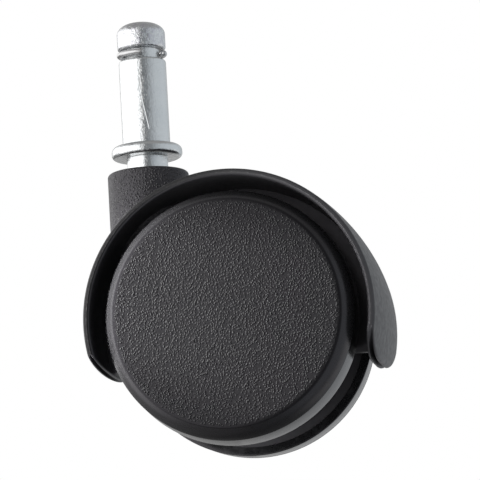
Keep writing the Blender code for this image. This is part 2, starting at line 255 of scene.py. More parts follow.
def close_nylon(nodes, **inputs):
    """Black nylon's sheen leans very slightly to violet."""
    close_surface(nodes, Specular_Tint=grey(1.0, (1.0, 0.955, 1.03)), **inputs)


def grey(value, tint=(1.0, 1.0, 1.0)):
    return (value * tint[0], value * tint[1], value * tint[2], 1.0)


# ---------------------------------------------------------------- materials

SCRATCH_SIDE = math.radians(24.28)
SCRATCH_WIND = math.radians(2.2) / MM
SCRATCH_HALF = math.radians(1.3)
SCRATCH_FOOT = (2 * MM, 3.5 * MM)
SCRATCH_HEAD = (10 * MM, 12.5 * MM)
GRAIN_DEPTH = 0.22


def scratch_line(n, x, y, z):
    """One long scratch that winds a little way round the pin's body."""
    around = n.math("ARCTAN2", x, n.times(y, -1.0))
    wound = n.math("ADD", around, n.times(z, SCRATCH_WIND))
    off = n.math("ABSOLUTE", n.math("SUBTRACT", wound, SCRATCH_SIDE))
    line = n.smooth(off, 0.0, SCRATCH_HALF, 1.0, 0.0)
    return n.times(line, n.window(z, SCRATCH_FOOT, SCRATCH_HEAD))


def steel_pits(n, at):
    """Small round pits that come in patches."""
    pits = n.smooth(n.cells(at, 1500), 0.0, 0.25, 1.0, 0.0)
    return n.times(pits, n.smooth(n.noise(at, 700, 2), 0.5, 0.6))


def steel_tone(n, at, dents, on_head, pits):
    """Cool grey in soft patches, faintly violet in the head's dents, darker in pits, and darker seen edge on
    as painted shade.
    """
    tone = n.mix(n.noise(at, 260, 3), grey(0.74, (0.97, 1.0, 1.02)), grey(0.84, (0.99, 1.0, 1.0)))
    violet = n.times(n.smooth(dents, 0.45, 0.62), on_head)
    tone = n.mix(n.times(violet, 0.7), tone, grey(0.66, (0.98, 0.96, 1.05)))
    tone = n.mix(n.times(pits, 0.45), tone, grey(0.25))
    # Painted shade: the steel is coloured darker where it is seen edge on.
    edge_on = n.add("ShaderNodeLayerWeight", {"Blend": 0.5}).outputs["Facing"]
    return n.mix(n.smooth(edge_on, 0.72, 0.95, 0.0, 0.6), tone, grey(0.4))


def plated_steel():
    """Bright zinc: a rippled, tumbled skin with pits, faint draw lines, a scratch and a more dented head."""
    material, n = surface("zinc_plate")
    at = n.place_of()
    x, y, z = n.split(at)
    on_head = n.smooth(z, (HEAD_BOTTOM - 0.5) * MM, (HEAD_BOTTOM + 0.5) * MM)
    above_flange = n.smooth(z, -0.3 * MM, 0.6 * MM, 0.25, 1.0)
    dents = n.noise(at, 1050, 4, 0.62, 0.4)
    grain = n.noise(at, 2600, 3, 0.6)
    pits = steel_pits(n, at)
    tone = steel_tone(n, at, dents, on_head, pits)
    rough = n.math("ADD", n.smooth(grain, 0.3, 0.75, 0.11, 0.22), n.times(pits, 0.2))
    normal = n.bump(n.noise(at, 420, 3, 0.55), 0.06, 0.6)
    normal = n.bump(n.times(dents, n.mix_value(on_head, 0.5, 1.0)), 0.22, 0.9, normal)
    normal = n.bump(n.stretched_noise(at, (1.0, 1.0, 0.06), 5200, 2, 0.5), 0.008, 0.6, normal)
    normal = n.bump(n.times(n.noise(at, 1900, 2, 0.7), above_flange), 0.07, 0.9, normal)
    normal = n.bump(grain, 0.05, 0.9, normal)
    normal = n.bump(scratch_line(n, x, y, z), -0.06, 1.0, normal)
    close_surface(n, Base_Color=tone, Metallic=1.0, Roughness=rough, Normal=normal)
    return material


def ring_wire():
    """Bare spring wire, with the fine lines of drawing."""
    material, n = surface("drawn_wire")
    drawn = n.stretched_noise(n.place_of(), (1.0, 1.0, 4.0), 2400, 3, 0.6)
    tone = n.mix(drawn, grey(0.55), grey(0.72))
    rough = n.smooth(drawn, 0.3, 0.7, 0.28, 0.42)
    close_surface(n, Base_Color=tone, Metallic=1.0, Roughness=rough, Normal=n.bump(drawn, 0.02, 0.8))
    return material


def machined_steel():
    """Turned steel, with fine lines across the axle's length."""
    material, n = surface("turned_steel")
    turned = n.stretched_noise(n.place_of(), (1.0, 0.08, 1.0), 3600, 2, 0.5)
    tone = n.mix(turned, grey(0.48), grey(0.66))
    rough = n.smooth(turned, 0.3, 0.7, 0.22, 0.38)
    close_surface(n, Base_Color=tone, Metallic=1.0, Roughness=rough, Normal=n.bump(turned, 0.01, 0.6))
    return material


def natural_acetal():
    """Creamy bearing plastic with soft flow marks."""
    material, n = surface("natural_acetal_moulded")
    at = n.place_of()
    flow = n.noise(at, 300, 3, 0.5)
    tone = n.mix(flow, grey(0.66, (1.0, 0.98, 0.92)), grey(0.78, (1.0, 0.99, 0.95)))
    rough = n.smooth(n.noise(at, 2500, 2), 0.3, 0.7, 0.35, 0.5)
    close_surface(n, Base_Color=tone, Roughness=rough, Normal=n.bump(flow, 0.02, 0.4))
    return material


def leather_grain(n, at, scale):
    """Height, 0 to 1, of a moulded grain: round dots set close together, of uneven height."""
    warp = n.add("ShaderNodeTexNoise", {"Vector": at, "Scale": scale * 0.5, "Detail": 1.0}).outputs["Color"]
    warp = n.vector("SUBTRACT", warp, (0.5, 0.5, 0.5))
    warp = n.vector("MULTIPLY", warp, (0.6 / scale, 0.6 / scale, 0.6 / scale))
    dots = n.smooth(n.cells(n.vector("ADD", at, warp), scale), 0.08, 0.56, 1.0, 0.0)
    uneven = n.smooth(n.noise(at, scale * 0.3, 3, 0.7), 0.3, 0.7, 0.5, 1.0)
    return n.times(dots, uneven)


def lit_grain(n, at, scale, lit_from):
    """(height, painted highlight) of the grain: each dot is coloured lighter on the side towards lit_from, a
    painted highlight.
    """
    here = leather_grain(n, at, scale)
    step = tuple(part * 0.3 / scale for part in lit_from)
    beside = leather_grain(n, n.vector("ADD", at, step), scale)
    # The second value is painted highlight, laid on each dot's flank towards lit_from.
    return here, n.smooth(n.math("SUBTRACT", here, beside), -0.12, 0.42)


def hood_places(n, at):
    """Where on the hood a point lies, each 0 to 1: on the neck, near the rim, on the flash line, inside."""
    x, y, z = n.split(at)
    side = n.math("ABSOLUTE", y)
    on_neck = n.smooth(n.radius(x, y), (NECK_R + 0.25) * MM, (NECK_R + 0.9) * MM, 1.0, 0.0)
    on_neck = n.times(on_neck, n.smooth(z, -30 * MM, -26 * MM))
    on_rim = n.smooth(side, (HOOD_HALF - 1.2) * MM, (HOOD_HALF - 0.5) * MM)
    on_flash = n.smooth(side, (HOOD_HALF - 0.06) * MM, (HOOD_HALF - 0.03) * MM)
    from_axle = n.radius(n.math("SUBTRACT", x, AXLE.x), n.math("SUBTRACT", z, AXLE.z))
    inside = n.smooth(from_axle, (HOOD_INNER_R + 0.1) * MM, (HOOD_INNER_R + 0.4) * MM, 1.0, 0.0)
    return on_neck, on_rim, on_flash, inside


def hood_painted_underlight(n, x):
    """Faces that look down or, towards the rear, sideways: the tails' edges, coloured lighter as painted
    light from below.
    """
    facing = n.split(n.add("ShaderNodeTexCoord").outputs["Normal"])
    down = n.smooth(facing[2], -0.75, -0.25, 0.9, 0.0)
    aside = n.smooth(n.math("ABSOLUTE", facing[1]), 0.3, 0.6, 0.0, 0.8)
    return n.math("MAXIMUM", down, n.times(aside, n.smooth(x, 12 * MM, 32 * MM)))


def hood_tone(n, at, painted_flank_highlight, places):
    """Near black; the rim, the tails' edges and the flash line are coloured lighter towards the rear as
    painted light (the flash line's specks are real), the inside is lifted as painted fill, and the neck's
    grain carries painted highlights.
    """
    x = n.split(at)[0]
    on_neck, on_rim, on_flash, inside = places
    specks = n.smooth(n.noise(at, 1500, 3, 0.7), 0.50, 0.62)
    # The flash line: real specks, coloured lighter towards the rear as a painted highlight.
    flash_specks_and_highlight = n.times(on_flash, n.math("ADD", n.times(specks, 0.8), 0.2))
    flash_specks_and_highlight = n.times(flash_specks_and_highlight, n.smooth(x, 5 * MM, 30 * MM, 0.12, 1.0))
    # Painted light: the rim's colour lifts from near black at the front to grey at the rear.
    rim_painted_lift = n.smooth(x, -5 * MM, 30 * MM, 0.004, 0.05)
    rim_painted_lift = n.add("ShaderNodeCombineColor", {0: rim_painted_lift, 1: rim_painted_lift, 2: rim_painted_lift}).outputs[0]
    tone = n.mix(n.noise(at, 180, 3), grey(0.009, (1.0, 0.95, 1.08)), grey(0.013, (1.0, 0.96, 1.08)))
    tone = n.mix(on_rim, tone, rim_painted_lift)
    # Painted light: faces looking down, and sideways towards the rear, are coloured lighter as if lit from
    # below.
    tone = n.mix(hood_painted_underlight(n, x), tone, grey(0.07, (1.0, 0.98, 1.05)))
    # Painted fill: the inside of the hood is coloured lighter to lift its shade.
    tone = n.mix(inside, tone, grey(0.036, (1.0, 0.98, 1.06)))
    # Painted highlight: the neck's grain is coloured lighter on its flanks towards the light.
    tone = n.mix(n.times(on_neck, painted_flank_highlight), tone, grey(0.055))
    # Flash line specks with their painted highlight.
    return n.mix(n.times(flash_specks_and_highlight, 0.55), tone, grey(0.16))


def hood_nylon():
    """Satin black nylon. The neck carries a fine grain with painted highlights, and the hood's rim is
    coloured lighter towards the rear as painted light.
    """
    material, n = surface("hood_black_nylon")
    at = n.place_of()
    places = hood_places(n, at)
    on_neck, on_rim = places[:2]
    grain, painted_flank_highlight = lit_grain(n, at, 2300, (-0.6, -0.5, 0.6))
    soft = n.noise(at, 900, 3, 0.6)
    tone = hood_tone(n, at, painted_flank_highlight, places)
    rough = n.mix_value(on_neck, n.smooth(soft, 0.3, 0.7, 0.34, 0.44), 0.46)
    normal = n.bump(soft, 0.02, 0.35)
    normal = n.bump(n.times(grain, on_neck), GRAIN_DEPTH, 1.0, normal)
    level = n.mix_value(on_neck, n.mix_value(on_rim, 0.39, 0.24), 0.62)
    close_nylon(n, Base_Color=tone, Roughness=rough, Specular_IOR_Level=level, Normal=normal)
    return material


def cover_nylon():
    """The wheel's cover: leather grain over the face with a painted highlight on each dot's flank, smooth
    satin on the margin and the shoulder.
    """
    material, n = surface("grained_cover_nylon")
    at = n.place_of()
    out = n.radius(*n.split(at)[:2])
    on_face = n.smooth(out, (FACE_R - 0.5) * MM, (FACE_R - 0.15) * MM, 1.0, 0.0)
    on_flat = n.smooth(out, (FACE_R + 0.1) * MM, (FACE_R + 0.35) * MM, 1.0, 0.0)
    grain, painted_flank_highlight = lit_grain(n, at, 2400, (-0.8, 0.6, 0))
    grain = n.times(grain, on_face)
    soft = n.noise(at, 700, 2, 0.6)
    tone = n.mix(n.noise(at, 90, 3), grey(0.007, (1.0, 0.96, 1.08)), grey(0.011, (1.0, 0.97, 1.08)))
    # Painted highlight: the face's grain is coloured lighter on its flanks towards the light.
    tone = n.mix(n.times(painted_flank_highlight, on_face), tone, grey(0.044))
    tone = n.mix(on_flat, grey(0.014, (1.0, 0.98, 1.04)), tone)
    rough = n.mix_value(on_face, n.smooth(soft, 0.3, 0.7, 0.24, 0.32), n.smooth(grain, 0.0, 0.6, 0.5, 0.3))
    normal = n.bump(soft, 0.01, 0.3)
    normal = n.bump(grain, GRAIN_DEPTH, 1.0, normal)
    level = n.mix_value(on_flat, 0.5, 0.22)
    close_nylon(n, Base_Color=tone, Roughness=rough, Specular_IOR_Level=level, Normal=normal)
    return material


def wheel_nylon():
    """The wheel's inner body: plain satin nylon, a little greyer than the cover."""
    material, n = surface("wheel_black_nylon")
    at = n.place_of()
    soft = n.noise(at, 800, 3, 0.6)
    tone = n.mix(n.noise(at, 160, 3), grey(0.048, (1.0, 0.98, 1.06)), grey(0.060, (1.0, 0.98, 1.04)))
    rough = n.smooth(soft, 0.3, 0.7, 0.36, 0.46)
    close_nylon(n, Base_Color=tone, Roughness=rough, Normal=n.bump(soft, 0.02, 0.4))
    return material


def tread_plastic():
    """Glossy running surface with faint scuffs round its circumference."""
    material, n = surface("tread_satin_black")
    at = n.place_of()
    scuffs = n.stretched_noise(at, (1.0, 1.0, 9.0), 420, 3, 0.65)
    tone = n.mix(n.smooth(scuffs, 0.45, 0.75), grey(0.014, (1.0, 1.0, 1.06)), grey(0.028, (1.0, 1.0, 1.04)))
    rough = n.smooth(scuffs, 0.35, 0.7, 0.14, 0.24)
    normal = n.bump(n.noise(at, 900, 3, 0.6), 0.01, 0.35)
    close_nylon(n, Base_Color=tone, Roughness=rough, Specular_IOR_Level=0.52, Normal=normal)
    return material


# ---------------------------------------------------------------- stem

STEM_R = 4.7625
STEM_TOP = 25.4
HEAD_R = 4.86
HEAD_BOTTOM = 19.79
GROOVE_R = 3.5
GROOVE_BOTTOM = 17.65
BODY_TOP = 16.0
HEAD_EDGE = 0.6
HEAD_FLAT_R = 1.3
HEAD_DOME = 2.3
SHANK_R = 4.1
SHANK_END = -24.2
FLANGE_R = 7.08
FLANGE_T = 2.4
FLANGE_TOP_R = 1.1
FLANGE_LOW_R = 0.8
FLANGE_ROOT = 0.25
FLANGE_UNDERCUT = 0.2
SHANK_CHAMFER = 0.6
RING_WIRE_R = 0.58
RING_CAP = 0.8 * RING_WIRE_R
RING_R = 4.5
RING_GAP = math.radians(78)
RING_GAP_MIDDLE = math.radians(-41)
RING_TILT = math.radians(3)
RING_TILT_WAY = math.radians(9.28)


def stem_outline():
    """The pin from its domed head, past the grip-ring groove and the flange, to its foot."""
    edge_r = STEM_R - HEAD_EDGE
    rim_top = FLANGE_R - FLANGE_TOP_R
    rim_low = FLANGE_R - FLANGE_LOW_R
    points = [(0, STEM_TOP)]
    points += arc((HEAD_FLAT_R, STEM_TOP - HEAD_DOME), (HEAD_R - HEAD_FLAT_R, HEAD_DOME), 90, 0, 22)
    points += arc((HEAD_R - HEAD_EDGE, HEAD_BOTTOM + HEAD_EDGE), (HEAD_EDGE, HEAD_EDGE), 0, -86, 9)
    corners = [(edge_r, HEAD_BOTTOM), (GROOVE_R, HEAD_BOTTOM)]
    corners += [(GROOVE_R, GROOVE_BOTTOM), (edge_r, GROOVE_BOTTOM)]
    points += eased(corners, {1: 0.25, 2: 0.2})
    points += arc((edge_r, GROOVE_BOTTOM - HEAD_EDGE), (HEAD_EDGE, HEAD_EDGE), 86, 0, 9)
    corners = [(STEM_R, BODY_TOP), (STEM_R, 0.1), (STEM_R + FLANGE_ROOT, 0), (rim_top, 0)]
    points += eased(corners, {1: 0.1, 2: 0.15})
    points += arc((rim_top, -FLANGE_TOP_R), (FLANGE_TOP_R, FLANGE_TOP_R), 86, 0, 10)
    points += arc((rim_low, FLANGE_LOW_R - FLANGE_T), (FLANGE_LOW_R, FLANGE_LOW_R), 0, -84, 10)
    corners = [(rim_low, -FLANGE_T), (rim_low - FLANGE_UNDERCUT, -FLANGE_T), (SHANK_R, -FLANGE_T)]
    corners += [(SHANK_R, SHANK_END + SHANK_CHAMFER), (SHANK_R - SHANK_CHAMFER, SHANK_END), (0, SHANK_END)]
    points += eased(corners, {2: 0.12, 3: 0.1, 4: 0.1})
    return points


def make_stem(steel):
    """The whole plated pin, turned about the stem's axis."""
    mesh = lathe("stem_plated", stem_outline(), 144, 50)
    place(mesh, steel, "stem", "stem_pin")


def ring_stations():
    """(share of the wire's way round, how far past it, thickness) of each ring of points; round ends."""
    turns = 120
    cap = [(math.sin(math.radians(angle)), math.cos(math.radians(angle))) for angle in (75, 60, 45, 30, 15)]
    stations = [(0.0, -past, thickness) for past, thickness in cap]
    stations += [(i / turns, 0.0, 1.0) for i in range(turns + 1)]
    return stations + [(1.0, past, thickness) for past, thickness in reversed(cap)]


def make_grip_ring(steel):
    """Round spring wire in the groove, open at the front right, both ends rounded."""
    sides = 28
    start = RING_GAP_MIDDLE + RING_GAP / 2
    sweep = 2 * math.pi - RING_GAP
    bm = bmesh.new()
    rings = []
    for part, past, thickness in ring_stations():
        angle = start + sweep * part
        turn = Matrix.Rotation(angle, 4, "Z")
        along = Vector((-math.sin(angle), math.cos(angle), 0)) * past * RING_CAP
        ring = []
        for j in range(sides):
            around = 2 * math.pi * j / sides
            reach = RING_WIRE_R * thickness
            local = Vector((RING_R + reach * math.cos(around), 0, reach * math.sin(around)))
            ring.append(bm.verts.new((turn @ local + along) * MM))
        rings.append(ring)
    skin(bm, rings)
    bm.faces.new(rings[0])
    bm.faces.new(rings[-1])
    mesh = finish_mesh("grip_ring_wire", bm, 60)
    at = (0, 0, centre_of("grip_ring").z)
    across = Vector((math.cos(RING_TILT_WAY), math.sin(RING_TILT_WAY), 0))
    tilt = Matrix.Rotation(RING_TILT, 3, across).to_euler()
    place(mesh, steel, "stem", "grip_ring", at, tilt)


# ---------------------------------------------------------------- hood

# Drops and radii of the wall and the web are from the axle; heights of the neck and its bore are from zero.
HOOD_CROWN_R = 29.25
HOOD_CROWN = 0.65
HOOD_HALF = 17.5
HOOD_EDGE_R = 0.75
HOOD_LIP_R = 0.5
HOOD_FLASH = 0.05
HOOD_FLASH_HALF = 0.11
HOOD_INNER_R = 27.3
FRONT_DROP = 8.05
FRONT_CORNER = (17.5, 2.4)
REAR_DROP = 9.75
REAR_CORNER = (14.0, 5.8)
TAIL_ROUND = 0.4
LAST_OF_CORNER = 0.995
WEB_HALF = 2.0
WEB_DROP = 7.2
WEB_EDGE_R = 1.6
NECK_R = 8.13
NECK_TOP = -5.5
NECK_EDGE = 0.7
NECK_MIDDLE = -15.0
NECK_FOOT = -24.6
SOCKET_R = 6.6
SOCKET_SHOULDER = -26.0
SOCKET_BOTTOM = -31.5
SOCKET_CHAMFER = 0.8
BORE_R = 5.25
BORE_FOOT = SHANK_END - 0.5
BALL_SEAT_R = 2.52
BALL_SEAT_BOTTOM = SHANK_END - 4.9
BOSS_R = 6.0
BOSS_HALF = 7.6
BOSS_EDGE_R = 0.3
PIN_HOLE_R = 3.04
PIN_HOLE_HALF = 12
ALONG_Y = (math.pi / 2, 0, 0)


def hood_section():
    """(y, radius) points round the hood's wall: its rim is round, with a thin line of flash on the crest."""
    rim = HOOD_HALF - HOOD_FLASH
    flat_half = rim - HOOD_EDGE_R
    outer_steps = 34
    inner_steps = 24
    outer = []
    for i in range(outer_steps + 1):
        y = -flat_half + 2 * flat_half * i / outer_steps
        outer.append((y, HOOD_CROWN_R - HOOD_CROWN * (y / HOOD_HALF) ** 2))
    rim_r = outer[-1][1]
    edge = arc((flat_half, rim_r - HOOD_EDGE_R), (HOOD_EDGE_R, HOOD_EDGE_R), 82, 0, 9)
    lip = arc((rim - HOOD_LIP_R, HOOD_INNER_R + HOOD_LIP_R), (HOOD_LIP_R, HOOD_LIP_R), 0, -90, 7)
    crest = (edge[-1][1] + lip[0][1]) / 2
    flash = arc((rim, crest), (HOOD_FLASH, HOOD_FLASH_HALF), 80, -80, 6)
    right = edge + flash + lip
    left = [(-y, r) for y, r in reversed(right)]
    inside = rim - HOOD_LIP_R
    inner = [(inside - i * 2 * inside / inner_steps, HOOD_INNER_R) for i in range(1, inner_steps)]
    return outer + right + inner + left


def tail_drop(y, drop, corner):
    """How far below the axle a tail ends at y: level in the middle, with elliptical corners (wide, tall)."""
    wide, tall = corner
    into = max(0.0, abs(y) - (HOOD_HALF - wide))
    into = min(into / wide, LAST_OF_CORNER)
    return drop - tall * (1 - math.sqrt(1 - into * into))


def shell_stations(steps, end_steps):
    """(share of the way from rear to front, cut back, thickness) of each column; the ends are rounded."""
    ends = []
    for i in range(end_steps):
        angle = math.pi / 2 * (1 - i / end_steps)
        ends.append((TAIL_ROUND * (1 - math.sin(angle)), 0.5 + 0.5 * math.cos(angle)))
    stations = [(0.0, cut, thick) for cut, thick in ends]
    stations += [(i / steps, TAIL_ROUND, 1.0) for i in range(steps + 1)]
    return stations + [(1.0, cut, thick) for cut, thick in reversed(ends)]


def hood_shell():
    """The arched wall over both wheels, about the axle, with round rims and rounded tail ends."""
    bm = bmesh.new()
    columns = []
    section = hood_section()
    middle = (HOOD_INNER_R + HOOD_CROWN_R) / 2
    for part, cut, thick in shell_stations(200, 6):
        side = HOOD_HALF - TAIL_ROUND * (1 - thick)
        column = []
        for y, full_r in section:
            r = middle + (full_r - middle) * thick
            rear = -math.asin((tail_drop(y, REAR_DROP, REAR_CORNER) - cut) / r)
            front = math.pi + math.asin((tail_drop(y, FRONT_DROP, FRONT_CORNER) - cut) / r)
            angle = rear + (front - rear) * part
            at_y = max(-side, min(side, y))
            column.append(bm.verts.new(Vector((r * math.cos(angle), at_y, r * math.sin(angle))) * MM))
        columns.append(column)
    skin(bm, columns)
    for column in (columns[0], columns[-1]):
        face = bm.faces.new(column)
        bmesh.ops.triangulate(bm, faces=[face])
    return finish_mesh("hood_shell", bm)


def web():
    """The wall between the wheels: a disc inside the hood, its level lower edge fully rounded."""
    bm = bmesh.new()
    reach = (HOOD_INNER_R + HOOD_CROWN_R - HOOD_CROWN) / 2
    edge = arc((WEB_HALF - WEB_EDGE_R, WEB_DROP - WEB_EDGE_R), (WEB_EDGE_R, WEB_EDGE_R), 0, 90, 10)
    edge = [(-y, drop) for y, drop in edge] + list(reversed(edge))
    steps = 140
    sides = []
    for y, drop in edge:
        low = math.asin(drop / reach)
        side = []
        for i in range(steps + 1):
            angle = -low + (math.pi + 2 * low) * i / steps
            side.append(bm.verts.new(Vector((reach * math.cos(angle), y, reach * math.sin(angle))) * MM))
        sides.append(side)
    bm.faces.new(sides[0])
    bm.faces.new(sides[-1])
    skin(bm, sides)
    return finish_mesh("hood_web", bm)


def neck():
    """The round neck, narrower where it goes on inside the hood as the socket's wall."""
    profile = [(0, NECK_TOP)]
    profile += arc((NECK_R - NECK_EDGE, NECK_TOP - NECK_EDGE), (NECK_EDGE, NECK_EDGE), 90, 0, 10)
    profile += [(NECK_R, NECK_MIDDLE), (NECK_R, NECK_FOOT), (SOCKET_R, SOCKET_SHOULDER)]
    profile += [(SOCKET_R, SOCKET_BOTTOM + SOCKET_CHAMFER), (SOCKET_R - SOCKET_CHAMFER, SOCKET_BOTTOM)]
    profile += [(0, SOCKET_BOTTOM)]
    return lathe("hood_neck", profile, 120)


def socket_bore():
    """The hole for the shank's bush, with the thrust ball's seat at its foot."""
    above = NECK_TOP + 2
    profile = [(0, above), (BORE_R, above), (BORE_R, BORE_FOOT), (BALL_SEAT_R, BORE_FOOT)]
    profile += [(BALL_SEAT_R, BALL_SEAT_BOTTOM), (0, BALL_SEAT_BOTTOM)]
    return lathe("hood_bore", profile, 96)


def rod(name, r, half, edges, steps):
    """A plain round bar about the axis; edges gives the radius of its rounded ends, or is empty."""
    corners = [(0, -half), (r, -half), (r, half), (0, half)]
    return lathe(name, eased(corners, edges) if edges else corners, steps)


def joined(name, base, steps):
    """Joins or cuts meshes in turn, each step (operation, mesh, place, turn)."""
    work = bpy.data.objects.new(name + "_work", base)
    bpy.context.scene.collection.objects.link(work)
    helpers = []
    for operation, mesh, at, turn in steps:
        helper = bpy.data.objects.new(name + "_helper", mesh)
        bpy.context.scene.collection.objects.link(helper)
        helper.location = Vector(at)
        helper.rotation_euler = turn
        helpers.append(helper)
        modifier = work.modifiers.new("step", "BOOLEAN")
        modifier.operation = operation
        modifier.solver = "EXACT"
        modifier.object = helper
    bpy.context.view_layer.update()
    graph = bpy.context.evaluated_depsgraph_get()
    mesh = bpy.data.meshes.new_from_object(work.evaluated_get(graph))
    for obj in [work, *helpers]:
        bpy.data.objects.remove(obj)
    return mesh


def make_hood(nylon):
    """One moulding, made about the axle: wall, web, axle boss and neck, with the holes for stem and pin."""
    boss = rod("hood_boss", BOSS_R, BOSS_HALF, {1: BOSS_EDGE_R, 2: BOSS_EDGE_R}, 96)
    hole = rod("hood_axle_hole", PIN_HOLE_R, PIN_HOLE_HALF, {}, 72)
    here, upright = (0, 0, 0), (0, 0, 0)
    steps = [
        ("UNION", web(), here, upright),
        ("UNION", boss, here, ALONG_Y),
        ("UNION", neck(), -AXLE, upright),
        ("DIFFERENCE", socket_bore(), -AXLE, upright),
        ("DIFFERENCE", hole, here, ALONG_Y),
    ]
    mesh = joined("hood_moulding", hood_shell(), steps)
    mesh.transform(Matrix.Translation(AXLE))
    mesh.materials.clear()
    mesh.name = "hood_moulding"
    mesh.shade_smooth()
    mesh.set_sharp_from_angle(angle=math.radians(35))
    place(mesh, nylon, "housing", "hood_housing")


# ---------------------------------------------------------------- wheels

# Radii are from the axle, and the other sizes run outwards along it from the caster's middle.
TREAD_IN = 9.0
TREAD_OUT = 15.4
TREAD_IN_R = 24.75
TREAD_OUT_R = 24.45
RIM_R = 23.0
RIM_INNER_R = 21.9
FACE_R = 22.3
FACE_H = 18.8
FACE_DOME = 0.15
FACE_T = 1.6
SHOULDER = (23.75, 17.9)
SEAM = 0.1
SEAM_EDGE = 0.12
SKIRT_T = 0.9
SKIRT_IN = 12.9
RIM_IN = TREAD_IN + 0.35
DISC_IN = 9.9
DISC_OUT = 11.3
HUB_BORE_R = 4.9
HUB_R = 6.6
HUB_IN = 8.35
HUB_OUT = 13.6


def cover_outline():
    """(radius, distance out from the caster's middle): domed face, soft shoulder, then a skirt in the rim."""
    steps = 24
    seam = TREAD_OUT + SEAM
    face_in = FACE_H - FACE_T
    skirt = RIM_INNER_R - SEAM
    points = [(0, FACE_H + FACE_DOME)]
    for i in range(1, steps):
        r = FACE_R * i / steps
        points.append((r, FACE_H + FACE_DOME * (1 - (r / FACE_R) ** 2)))
    points += bevel((FACE_R, FACE_H), SHOULDER, (TREAD_OUT_R, seam + 0.1), steps)
    tail = [(TREAD_OUT_R, seam + 0.08), (TREAD_OUT_R - SEAM_EDGE, seam), (skirt, seam), (skirt, SKIRT_IN)]
    tail += [(skirt - SKIRT_T, SKIRT_IN), (skirt - SKIRT_T, face_in), (0, face_in)]
    points += eased(tail, {1: 0.05, 3: 0.1, 4: 0.1, 5: 0.4})[1:]
    return points


def tread_outline():
    """The running band round the rim, a little narrower outward."""
    seat_r = RIM_R + 0.05
    corners = [(seat_r, TREAD_IN), (TREAD_IN_R, TREAD_IN), (TREAD_OUT_R, TREAD_OUT), (seat_r, TREAD_OUT)]
    return eased(corners, {1: 0.22, 2: 0.2}, 6)


def rim_outline():
    """The wheel's inner body: hub, disc and rim, open towards the cover."""
    corners = [(HUB_BORE_R, HUB_IN), (HUB_R, HUB_IN), (HUB_R + 0.4, DISC_IN), (RIM_INNER_R - 1.2, DISC_IN)]
    corners += [(RIM_INNER_R - 0.6, RIM_IN), (RIM_R, RIM_IN), (RIM_R, TREAD_OUT), (RIM_INNER_R, TREAD_OUT)]
    corners += [(RIM_INNER_R, DISC_OUT), (HUB_R + 0.3, DISC_OUT), (HUB_R, HUB_OUT), (HUB_BORE_R, HUB_OUT)]
    return eased(corners, {2: 0.5, 3: 0.8, 4: 0.15, 8: 0.5, 9: 0.5})


def make_wheel(side, nylon, tread, cover):
    """The body, tread and cover of the near or the far wheel."""
    body = "wheel_" + side
    turn = OUTWARD[side]
    rim = lathe("rim_" + side, rim_outline(), 160)
    place(rim, nylon, body, "wheel_body_" + side, AXLE, turn)
    ring = lathe("tread_" + side, tread_outline(), 200)
    place(ring, tread, body, "tread_ring_" + side, AXLE, turn)
    cap = lathe("cover_" + side, cover_outline(), 200)
    place(cap, cover, body, "wheel_cap_" + side, AXLE, turn)


# ---------------------------------------------------------------- studio

VIEW_AZIMUTH = math.radians(9.2832)
VIEW_ELEVATION = math.radians(-10.4205)
VIEW_ROLL = math.radians(3.3014)
VIEW_DISTANCE = 0.700
VIEW_LENS = 261.541
VIEW_SHIFT = (0.01874, -0.01907, 0.0004)
# Degrees round to the right from the camera's side, brightness, and how cool it is (0 to 1).
LIGHT_ROUND = [
    (-180, 0.20, 0),
    (-166, 0.22, 0),
    (-156, 0.34, 0),
    (-144, 0.72, 0),
    (-23, 0.70, 0),
    (-16, 0.40, 0),
    (-9, 0.09, 0.3),
    (2, 0.06, 0.6),
    (12, 0.10, 1),
    (26, 0.17, 1),
    (60, 0.27, 1),
    (88, 0.27, 1),
    (112, 0.29, 1),
    (140, 0.26, 1),
    (180, 0.26, 0),
]
LIGHT_STRENGTH = 2.2
LEAST_LOW_LIGHT = 0.12
FLOOR_Z = -0.30
FLOOR_R = 4.0


def make_camera():
    """Below the wheel's height, a little to the right of square on, with a long lens."""
    az, el = VIEW_AZIMUTH, VIEW_ELEVATION
    back = Vector((math.sin(az) * math.cos(el), -math.cos(az) * math.cos(el), math.sin(el)))
    right = Vector((math.cos(az), math.sin(az), 0))
    up = back.cross(right)
    c, s = math.cos(VIEW_ROLL), math.sin(VIEW_ROLL)
    tilted_right = right * c - up * s
    tilted_up = right * s + up * c
    data = bpy.data.cameras.new("camera")
    data.lens = VIEW_LENS
    data.sensor_width = 36.0
    data.clip_start = 0.01
    camera = bpy.data.objects.new("camera", data)
    bpy.context.scene.collection.objects.link(camera)
    x, y, z = VIEW_SHIFT
    spot = tilted_right * x + tilted_up * y + back * VIEW_DISTANCE + Vector((0, 0, z))
    turn = Matrix((tilted_right, tilted_up, back)).transposed().to_4x4()
    camera.matrix_world = Matrix.Translation(spot) @ turn
    bpy.context.scene.camera = camera


def radians(*angles):
    return [math.radians(angle) for angle in angles]


def light_round(n, turn):
    """The light at the object's own height, by the direction that it comes from."""
    share = n.math("ADD", n.math("DIVIDE", turn, 2 * math.pi), 0.5)
    ramp = n.add("ShaderNodeValToRGB", {0: share})
    elements = ramp.color_ramp.elements
    while len(elements) < len(LIGHT_ROUND):
        elements.new(0.5)
    for element, (angle, value, cool) in zip(elements, LIGHT_ROUND):
        element.position = angle / 360 + 0.5
        element.color = grey(value, (1 - 0.07 * cool, 1 - 0.01 * cool, 1 + 0.04 * cool))
    return ramp.outputs["Color"]


